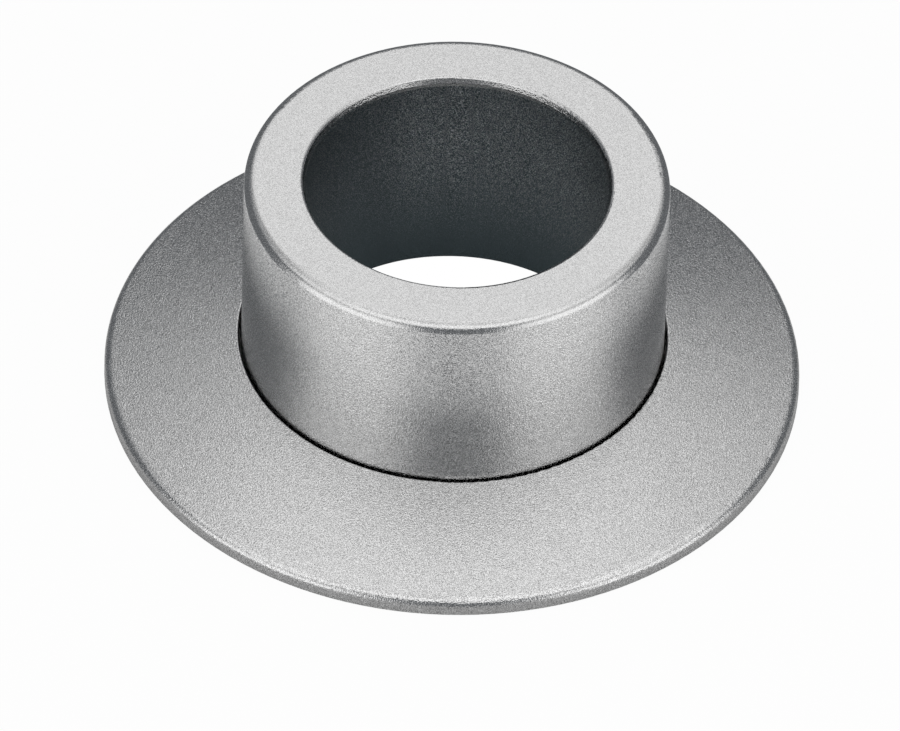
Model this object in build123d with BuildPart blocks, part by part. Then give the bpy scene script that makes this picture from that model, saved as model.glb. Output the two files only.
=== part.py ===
from build123d import *
from math import atan2, cos, radians, tan
import os

# Two-piece round pipe rosette, in millimetres.
# The pipe runs along +Z. The finished wall is the plane Z = 0, and both pieces end on it.
# The sleeve stands round the pipe, and the dished flange slides along the sleeve.

# The pipe that the rosette covers: half-inch steel pipe
pipe_diameter = 21.3
pipe_clearance = 0.2

# Sleeve: a short turned tube with an inward lip at its outer end
sleeve_height = 18.9
sleeve_wall = 3.0
lip_reach = 1.35
lip_thickness = 0.8
sleeve_edge_radius = 0.8
opening_flare_height = 0.5
opening_flare_angle = 23.0
opening_edge_radius = 0.3
chamber_corner_radius = 0.4
sleeve_foot_chamfer = 0.2

# Flange: a dished plate, formed from sheet, with its rim turned down to the wall
flange_diameter = 50.0
flange_thickness = 1.2
rim_height = 1.3
crown_height = 4.0
rim_edge_radius = 0.75
rim_foot_radius = 0.1
hole_edge_radius = 0.12
sliding_clearance = 0.2

# Sizes that follow from them
opening_radius = pipe_diameter / 2 + pipe_clearance
flared_radius = opening_radius + opening_flare_height * tan(radians(opening_flare_angle))
chamber_radius = opening_radius + lip_reach
chamber_height = sleeve_height - lip_thickness
sleeve_radius = chamber_radius + sleeve_wall
flange_radius = flange_diameter / 2
rim_inner_radius = flange_radius - flange_thickness
hole_radius = sleeve_radius + sliding_clearance

# The face is a shallow cone from the rim up to the hole, and the back follows it
face_slope = (crown_height - rim_height) / (flange_radius - hole_radius)
vertical_thickness = flange_thickness / cos(atan2(crown_height - rim_height, flange_radius - hole_radius))
back_height_at_hole = crown_height - vertical_thickness
back_height_at_rim = back_height_at_hole - face_slope * (rim_inner_radius - hole_radius)

with BuildPart() as sleeve:
    with BuildSketch(Plane.XY):
        Circle(sleeve_radius)
        Circle(opening_radius, mode=Mode.SUBTRACT)
    extrude(amount=sleeve_height)

    # The bore is relieved behind the lip, so only the lip comes close to the pipe
    with BuildSketch(Plane.XY):
        Circle(chamber_radius)
    extrude(amount=chamber_height, mode=Mode.SUBTRACT)

    # A small round in the corner between the lip and the wall inside
    lip_edges = sleeve.edges().filter_by(GeomType.CIRCLE).group_by(Axis.Z)[1]
    fillet(lip_edges.sort_by(SortBy.RADIUS)[-1], radius=chamber_corner_radius)

    # The opening flares a little towards its outer end, so the pipe's end finds its way in
    with Locations((0, 0, sleeve_height - opening_flare_height)):
        Cone(
            opening_radius,
            flared_radius,
            opening_flare_height,
            align=(Align.CENTER, Align.CENTER, Align.MIN),
            mode=Mode.SUBTRACT,
        )

    # Soft round edges on the lip, outside and in the opening, and broken edges at the foot
    top_edges = sleeve.faces().sort_by(Axis.Z)[-1].edges().sort_by(SortBy.RADIUS)
    fillet(top_edges[-1], radius=sleeve_edge_radius)
    fillet(top_edges[0], radius=opening_edge_radius)
    foot_edges = sleeve.faces().sort_by(Axis.Z)[0].edges()
    chamfer(foot_edges, length=sleeve_foot_chamfer)

sleeve.part.label = "sleeve"

with BuildPart() as flange:
    # Half the section of the dish, filled down to the wall
    with BuildSketch(Plane.XZ) as dish_section:
        with BuildLine():
            Polyline(
                (hole_radius, 0),
                (flange_radius, 0),
                (flange_radius, rim_height),
                (hole_radius, crown_height),
                close=True,
            )
        make_face()
        # Broken edge round the hole, round edge on the rim, broken edge at the rim's foot
        crown_corner = dish_section.vertices().sort_by(Axis.Y)[-1]
        fillet(crown_corner, radius=hole_edge_radius)
        rim_corner = dish_section.vertices().group_by(Axis.X)[-1].sort_by(Axis.Y)[-1]
        fillet(rim_corner, radius=rim_edge_radius)
        foot_corner = dish_section.vertices().group_by(Axis.X)[-1].sort_by(Axis.Y)[0]
        fillet(foot_corner, radius=rim_foot_radius)
    revolve(axis=Axis.Z)

    # The hollow back keeps one thickness under the face and inside the rim
    with BuildSketch(Plane.XZ):
        with BuildLine():
            Polyline(
                (0, -flange_thickness),
                (rim_inner_radius, -flange_thickness),
                (rim_inner_radius, back_height_at_rim),
                (hole_radius, back_height_at_hole),
                (0, back_height_at_hole),
                close=True,
            )
        make_face()
    revolve(axis=Axis.Z, mode=Mode.SUBTRACT)

flange.part.label = "flange"

os.makedirs("parts", exist_ok=True)
export_step(sleeve.part, "parts/sleeve.step")
export_step(flange.part, "parts/flange.step")
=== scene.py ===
import bpy
from math import cos, radians, sin
from mathutils import Matrix, Vector

# Pipe rosette: a lipped sleeve standing in a dished flange, both in satin silver, seen from above and in front.
# Lengths are in metres and angles in degrees. The pipe runs along +Z, and the house wall is the plane Z = 0.
# Directions round the object are counted from the camera's side, -Y, towards +X.

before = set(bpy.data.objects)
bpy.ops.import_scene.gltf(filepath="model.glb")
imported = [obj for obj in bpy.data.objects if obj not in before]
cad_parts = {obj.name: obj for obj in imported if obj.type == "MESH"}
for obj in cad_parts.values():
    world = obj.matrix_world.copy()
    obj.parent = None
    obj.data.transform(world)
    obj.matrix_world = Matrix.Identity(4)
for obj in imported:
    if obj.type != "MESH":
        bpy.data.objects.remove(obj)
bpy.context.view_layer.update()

# Camera: a long lens far away, level but for a small lean
camera_place = (0.0, -0.88996, 0.83934)
camera_target = (-0.00014, 0.00039, 0.00042)
camera_lean = 1.669
camera_reach = (0.01, 20)
lens_mm = 680.0

# Metal: its colour, the blur of its reflections, and the size, contrast and depth of its blasted grain.
# The ranges say where in the noise the light specks and the dull specks lie.
silver = (0.605, 0.605, 0.605)
silver_roughness, speck_roughness = 0.09, 0.36
grain_size, grain_detail, grain_contrast = 0.000064, 1.0, 0.54
light_speck_range = (0.3, 0.7)
dull_speck_range = (0.45, 0.72)
dimple_size, dimple_depth = 0.00010, 0.000022
noise_roughness = 0.7

# The sleeve's face and its round edge, which begin between these heights, have a finer grain than its wall
face_start = (0.0180, 0.0183)
face_grain_contrast = 0.34
face_dimple_depth = 0.000011

# The sleeve's bore, behind the lip, is darker and duller. It is plain at its foot, and on the whole darker there,
# which is painted shade.
# It has bright specks higher up, sparser on the -X side, which is painted shade on that side, and faint dark
# streaking along the pipe, which is a painted reflection.
bore_radius, bore_height = 0.01235, 0.0181
bore_roughness = 0.42
bore_grey = (0.10, 0.125, 0.14)
bore_speck = (0.95, 0.98, 1.0)
bore_speck_range = (0.46, 0.68)
bore_foot_shade_grey, bore_foot_shade_height = (0.14, 0.18, 0.195), 0.01267
painted_shade_specks_share, painted_shade_sides = 0.45, (-0.0078, -0.0020)
painted_streak_contrast, painted_streak_width = 0.15, 0.003

# Studio: a round wall about the object, dark and a little blue near the horizon
studio_radius, studio_steps, studio_rings = 0.42, 72, 24
horizon_tone_front, horizon_tone_back = 0.21, 0.18
dark_tint = (0.92, 0.97, 1.03)
untinted_tone = 0.7

# White tent overhead, which begins lower in front than behind
tent_strength = 1.08
tent_edge_front, tent_edge_back = 24.0, 31.5
tent_softness_front, tent_softness_back = 7.0, 6.0

# The tent is shaded in two corners behind, the left one more than the right
corner_sides, corner_side_softness = (98.0, 154.0), 14.0
corner_heights, corner_height_softness = (13.0, 57.0), 11.0
corner_shade_left, corner_shade_right = 0.66, 0.50
left_to_right = (-60.0, 60.0)

# In front the tent is dimmer high up and brighter below that, and neither shows past the second of these sides
front_sides = (40.0, 80.0)
front_shade, front_shade_heights = 0.22, (56.0, 80.0)
front_glow, front_glow_heights = 0.24, (30.0, 56.0)
front_softness = 8.0

# Two soft boxes in front, left and right, each brighter in its lower half
box_sides, box_side_softness = ((-79.5, -22.5), (28.5, 85.5)), 15.0
box_low, box_middle, box_high, box_end_softness = -35.0, 10.0, 40.0, 8.0
box_strength, box_upper_strength = 1.36, 0.80

# Pale ground far below the object's level, darker straight down
ground_edge, ground_softness = -36.0, 2.0
ground_tone, ground_tone_below = 0.90, 0.25
ground_tone_heights = (-75.0, -40.0)

# Floor: pale paint, white to the camera but for the object's faint shadow
floor_radius, floor_drop = 0.5, 0.00002
floor_colour = (0.80, 0.80, 0.80)
floor_white_share = 0.95
ring_steps = 180

# The floor inside this radius shows a soft shade at the sleeve's foot. The shade is real, and its end outwards over
# this range is painted, a glow that whitens it by the distance from the axis.
shade_radius = 0.0248
foot_shade_painted_fade = (0.0165, 0.0246)

# The floor in the bore and close round the rim, which only the metal sees
bore_floor_inner, bore_floor_radius = 0.0001, 0.0127
rim_floor_radius = 0.027
# The ring round the rim is painted darker than the floor, a painted contact shade that only the metal sees
painted_rim_shade_colour = (0.55, 0.55, 0.55)

white = (1.0, 1.0, 1.0)
black = (0.0, 0.0, 0.0)


def feed(tree, node, inputs):
    """Gives the node's inputs their values: numbers, vectors, colours or the sockets of other nodes."""
    for key, value in inputs.items():
        socket = node.inputs[key]
        if isinstance(value, bpy.types.NodeSocket):
            tree.links.new(value, socket)
        elif socket.type == "RGBA":
            socket.default_value = (*value, 1)
        else:
            socket.default_value = value


def math_node(tree, operation, *values):
    node = tree.nodes.new("ShaderNodeMath")
    node.operation = operation
    feed(tree, node, dict(enumerate(values)))
    return node.outputs[0]


def product(tree, first, *others):
    for other in others:
        first = math_node(tree, "MULTIPLY", first, other)
    return first


def inverse(tree, share):
    """What the share leaves of 1."""
    return math_node(tree, "SUBTRACT", 1.0, share)


def blend(tree, share, first, second):
    """A number that goes from first to second as share goes from 0 to 1."""
    node = tree.nodes.new("ShaderNodeMix")
    feed(tree, node, {0: share, 2: first, 3: second})
    return node.outputs[0]


def blend_colour(tree, share, first, second):
    node = tree.nodes.new("ShaderNodeMix")
    node.data_type = "RGBA"
    feed(tree, node, {0: share, 6: first, 7: second})
    return node.outputs[2]


def rise(tree, value, low, high):
    """0 below low, 1 above high, and a soft ramp between them."""
    node = tree.nodes.new("ShaderNodeMapRange")
    node.interpolation_type = "SMOOTHSTEP"
    feed(tree, node, {"Value": value, "From Min": low, "From Max": high})
    return node.outputs["Result"]


def window(tree, value, low, high, softness):
    """1 between low and high, 0 outside, with soft ends."""
    start = rise(tree, value, low - softness, low + softness)
    end = rise(tree, value, high - softness, high + softness)
    return product(tree, start, inverse(tree, end))


def object_place(tree):
    return tree.nodes.new("ShaderNodeTexCoord").outputs["Object"]


def split(tree, vector):
    """The vector's X, Y and Z."""
    node = tree.nodes.new("ShaderNodeSeparateXYZ")
    feed(tree, node, {0: vector})
    return node.outputs["X"], node.outputs["Y"], node.outputs["Z"]


def across_pipe(tree, place):
    """The place with its height along the pipe taken out."""
    node = tree.nodes.new("ShaderNodeVectorMath")
    node.operation = "MULTIPLY"
    feed(tree, node, {0: place, 1: (1, 1, 0)})
    return node.outputs["Vector"]


def from_axis(tree, place):
    """The distance from the pipe's axis."""
    node = tree.nodes.new("ShaderNodeVectorMath")
    node.operation = "LENGTH"
    feed(tree, node, {0: across_pipe(tree, place)})
    return node.outputs["Value"]


def noise(tree, place, size, detail=0.0):
    node = tree.nodes.new("ShaderNodeTexNoise")
    feed(tree, node, {"Vector": place, "Scale": 1 / size, "Detail": detail, "Roughness": noise_roughness})
    return node.outputs["Fac"]


def new_material(name):
    material = bpy.data.materials.new(name)
    material.use_nodes = True
    return material, material.node_tree


def shades(colour, contrast):
    """A darker and a lighter colour, the contrast apart on either side."""
    return [c * (1 - contrast) for c in colour], [min(1, c * (1 + contrast)) for c in colour]


def bore_colour(tree, place, grain):
    side, _, height = split(tree, place)
    # Sparser specks on the -X side: painted shade on that side of the bore
    side_shade = blend(tree, rise(tree, side, *painted_shade_sides), painted_shade_specks_share, 1.0)
    specks = product(tree, rise(tree, grain, *bore_speck_range), side_shade)
    speckled = blend_colour(tree, specks, bore_grey, bore_speck)
    # Plainer and on the whole darker towards the foot: painted shade
    colour = blend_colour(tree, rise(tree, height, 0.0, bore_foot_shade_height), bore_foot_shade_grey, speckled)
    # Faint dark bands along the pipe: a painted reflection
    painted_streaks = noise(tree, across_pipe(tree, place), painted_streak_width)
    return blend_colour(tree, product(tree, painted_streaks, painted_streak_contrast), colour, black)


def satin_silver(name, with_bore=False):
    """The metal. The sleeve's also has a finer face and a dark bore."""
    material, tree = new_material(name)
    place = object_place(tree)

    # Grain left by the blasting: fine dimples, and specks that are lighter and duller than the rest
    grain = noise(tree, place, grain_size, grain_detail)
    light_specks = rise(tree, grain, *light_speck_range)
    colour = blend_colour(tree, light_specks, *shades(silver, grain_contrast))
    dull_specks = rise(tree, grain, *dull_speck_range)
    roughness = blend(tree, dull_specks, silver_roughness, speck_roughness)
    depth = dimple_depth

    if with_bore:
        height = split(tree, place)[2]
        on_face = rise(tree, height, *face_start)
        face = blend_colour(tree, light_specks, *shades(silver, face_grain_contrast))
        colour = blend_colour(tree, on_face, colour, face)
        depth = blend(tree, on_face, dimple_depth, face_dimple_depth)

        near_axis = math_node(tree, "LESS_THAN", from_axis(tree, place), bore_radius)
        behind_lip = math_node(tree, "LESS_THAN", height, bore_height)
        inside = product(tree, near_axis, behind_lip)
        colour = blend_colour(tree, inside, colour, bore_colour(tree, place, grain))
        roughness = blend(tree, inside, roughness, bore_roughness)

    bump = tree.nodes.new("ShaderNodeBump")
    feed(tree, bump, {"Strength": 1.0, "Distance": depth, "Height": noise(tree, place, dimple_size)})
    shader = tree.nodes["Principled BSDF"]
    feed(tree, shader, {"Metallic": 1.0, "Base Color": colour, "Roughness": roughness})
    feed(tree, shader, {"Normal": bump.outputs["Normal"]})
    return material


def make_camera():
    data = bpy.data.cameras.new("camera")
    data.lens = lens_mm
    data.clip_start, data.clip_end = camera_reach
    camera = bpy.data.objects.new("camera", data)
    bpy.context.scene.collection.objects.link(camera)
    view = Vector(camera_target) - Vector(camera_place)
    level = view.to_track_quat("-Z", "Y").to_matrix()
    lean = Matrix.Rotation(radians(camera_lean), 3, "Z")
    camera.matrix_world = Matrix.Translation(camera_place) @ (level @ lean).to_4x4()
    bpy.context.scene.camera = camera


def circle(radius, height, steps):
    turns = [radians(360 * i / steps) for i in range(steps)]
    return [(radius * cos(turn), radius * sin(turn), height) for turn in turns]


def band(start, steps):
    """The faces between two circles of points that follow each other in the list, from the point at start."""
    corners = [(start + i, start + (i + 1) % steps) for i in range(steps)]
    return [(here, beside, beside + steps, here + steps) for here, beside in corners]


def stage_piece(name, points, faces, material):
    mesh = bpy.data.meshes.new(name)
    mesh.from_pydata(points, [], faces)
    mesh.materials.append(material)
    piece = bpy.data.objects.new(name, mesh)
    bpy.context.scene.collection.objects.link(piece)
    return piece


def floor_paint(name, under_object=False):
    """Pale paint that takes shadows and looks nearly white.

    Under the object it whitens only to the camera, and outwards from the sleeve's foot, which is a painted fade of
    the real shade there.
    """
    material, tree = new_material(name)
    tree.nodes.clear()
    rays = tree.nodes.new("ShaderNodeLightPath")
    looks = rays.outputs["Is Camera Ray"]
    if under_object:
        # Painted fade: the glow whitens the shaded floor outwards from the sleeve's foot by distance, not by light
        outwards = rise(tree, from_axis(tree, object_place(tree)), *foot_shade_painted_fade)
        looks = product(tree, looks, outwards)
    else:
        looks = math_node(tree, "MAXIMUM", looks, rays.outputs["Is Glossy Ray"])
        looks = math_node(tree, "MAXIMUM", looks, rays.outputs["Is Transmission Ray"])

    paint = tree.nodes.new("ShaderNodeBsdfDiffuse")
    feed(tree, paint, {"Color": floor_colour})
    glow = tree.nodes.new("ShaderNodeEmission")
    feed(tree, glow, {"Color": white})
    mixed = tree.nodes.new("ShaderNodeMixShader")
    whiteness = product(tree, looks, floor_white_share)
    feed(tree, mixed, {0: whiteness, 1: paint.outputs[0], 2: glow.outputs[0]})
    feed(tree, tree.nodes.new("ShaderNodeOutputMaterial"), {"Surface": mixed.outputs[0]})
    return material


def matte_paint(name, colour):
    material, tree = new_material(name)
    shader = tree.nodes["Principled BSDF"]
    feed(tree, shader, {"Base Color": colour, "Roughness": 1.0, "Specular IOR Level": 0.0})
    return material


def floor_ring(name, inner_radius, outer_radius, material):
    inner = circle(inner_radius, -floor_drop, ring_steps)
    outer = circle(outer_radius, -floor_drop, ring_steps)
    return stage_piece(name, inner + outer, band(0, ring_steps), material)


def make_floor():
    # The wide floor shows to the camera. The photographed metal shows the studio beyond it instead.
    floor = floor_ring("floor", shade_radius, floor_radius, floor_paint("floor"))
    floor.visible_glossy = False
    floor.visible_shadow = False

    # The floor that the object shades
    shaded = floor_paint("shaded_floor", under_object=True)
    floor_ring("floor_under_flange", bore_floor_radius, shade_radius, shaded)

    # The floor that the metal sees in the bore and at the rim. To the camera the background stays white there. At
    # the rim its paint is darker, a painted contact shade.
    bore_paint = matte_paint("bore_floor", floor_colour)
    in_bore = floor_ring("floor_in_bore", bore_floor_inner, bore_floor_radius, bore_paint)
    rim_shade_paint = matte_paint("painted_contact_shade", painted_rim_shade_colour)
    at_rim = floor_ring("floor_at_rim", shade_radius, rim_floor_radius, rim_shade_paint)
    for piece in (in_bore, at_rim):
        piece.location.z = floor_drop / 2
        piece.visible_camera = False
    at_rim.visible_diffuse = False
    at_rim.visible_shadow = False


def make_world():
    world = bpy.data.worlds.new("studio")
    bpy.context.scene.world = world
    world.use_nodes = True
    feed(world.node_tree, world.node_tree.nodes["Background"], {"Color": white, "Strength": 1.0})


def direction(tree):
    """The height and the side at which a place on the studio's wall lies, and its share of the way to the front."""
    aim = tree.nodes.new("ShaderNodeVectorMath")
    aim.operation = "NORMALIZE"
    feed(tree, aim, {0: object_place(tree)})
    x, y, z = split(tree, aim.outputs["Vector"])
    height = math_node(tree, "DEGREES", math_node(tree, "ARCSINE", z))
    turn = math_node(tree, "ARCTAN2", x, product(tree, y, -1.0))
    front_share = math_node(tree, "MULTIPLY_ADD", math_node(tree, "COSINE", turn), 0.5, 0.5)
    return height, math_node(tree, "DEGREES", turn), front_share


def tent_light(tree, height, side, front_share):
    """How bright the tent and the dark band below it are."""
    edge = blend(tree, front_share, tent_edge_back, tent_edge_front)
    softness = blend(tree, front_share, tent_softness_back, tent_softness_front)
    low = math_node(tree, "SUBTRACT", edge, softness)
    high = math_node(tree, "ADD", edge, softness)
    tent = rise(tree, height, low, high)

    # The two shaded corners
    either_side = math_node(tree, "ABSOLUTE", side)
    corner = window(tree, either_side, *corner_sides, corner_side_softness)
    corner_band = window(tree, height, *corner_heights, corner_height_softness)
    corner_shade = blend(tree, rise(tree, side, *left_to_right), corner_shade_left, corner_shade_right)
    tent = product(tree, tent, inverse(tree, product(tree, corner, corner_band, corner_shade)))

    # The shade and the glow in front
    in_front = inverse(tree, rise(tree, either_side, *front_sides))
    shaded_band = window(tree, height, *front_shade_heights, front_softness)
    tent = product(tree, tent, inverse(tree, product(tree, in_front, shaded_band, front_shade)))
    glowing_band = window(tree, height, *front_glow_heights, front_softness)
    glow = product(tree, in_front, glowing_band, front_glow)

    horizon_tone = blend(tree, front_share, horizon_tone_back, horizon_tone_front)
    bright = blend(tree, tent, horizon_tone, tent_strength)
    return product(tree, bright, math_node(tree, "ADD", 1.0, glow))


def studio_light():
    """How bright the studio's wall is, from the direction in which it lies."""
    material, tree = new_material("studio_light")
    tree.nodes.clear()
    height, side, front_share = direction(tree)
    bright = tent_light(tree, height, side, front_share)

    # The soft boxes
    boxes = [window(tree, side, *sides, box_side_softness) for sides in box_sides]
    boxes = math_node(tree, "MAXIMUM", *boxes)
    whole = product(tree, boxes, window(tree, height, box_low, box_high, box_end_softness))
    bright = math_node(tree, "MAXIMUM", bright, product(tree, whole, box_upper_strength))
    lower = product(tree, boxes, window(tree, height, box_low, box_middle, box_end_softness))
    bright = blend(tree, lower, bright, box_strength)

    # The ground
    above_ground = rise(tree, height, ground_edge - ground_softness, ground_edge + ground_softness)
    ground = blend(tree, rise(tree, height, *ground_tone_heights), ground_tone_below, ground_tone)
    bright = blend(tree, above_ground, ground, bright)

    tint = blend_colour(tree, rise(tree, bright, 0.0, untinted_tone), dark_tint, white)
    glow = tree.nodes.new("ShaderNodeEmission")
    feed(tree, glow, {"Color": tint, "Strength": bright})
    feed(tree, tree.nodes.new("ShaderNodeOutputMaterial"), {"Surface": glow.outputs[0]})
    return material


def make_studio_wall():
    points, faces = [], []
    for k in range(studio_rings + 1):
        height = radians(-90 + 180 * k / studio_rings)
        points += circle(studio_radius * cos(height), studio_radius * sin(height), studio_steps)
    for k in range(studio_rings):
        faces += band(k * studio_steps, studio_steps)
    wall = stage_piece("studio_wall", points, faces, studio_light())
    wall.visible_camera = False
    wall.data.materials[0].cycles.emission_sampling = "NONE"


make_camera()
make_floor()
make_world()
make_studio_wall()

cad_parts["sleeve"].material_slots[0].material = satin_silver("sleeve_satin_silver", with_bore=True)
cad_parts["flange"].material_slots[0].material = satin_silver("flange_satin_silver")

bpy.context.scene.view_settings.view_transform = "Standard"
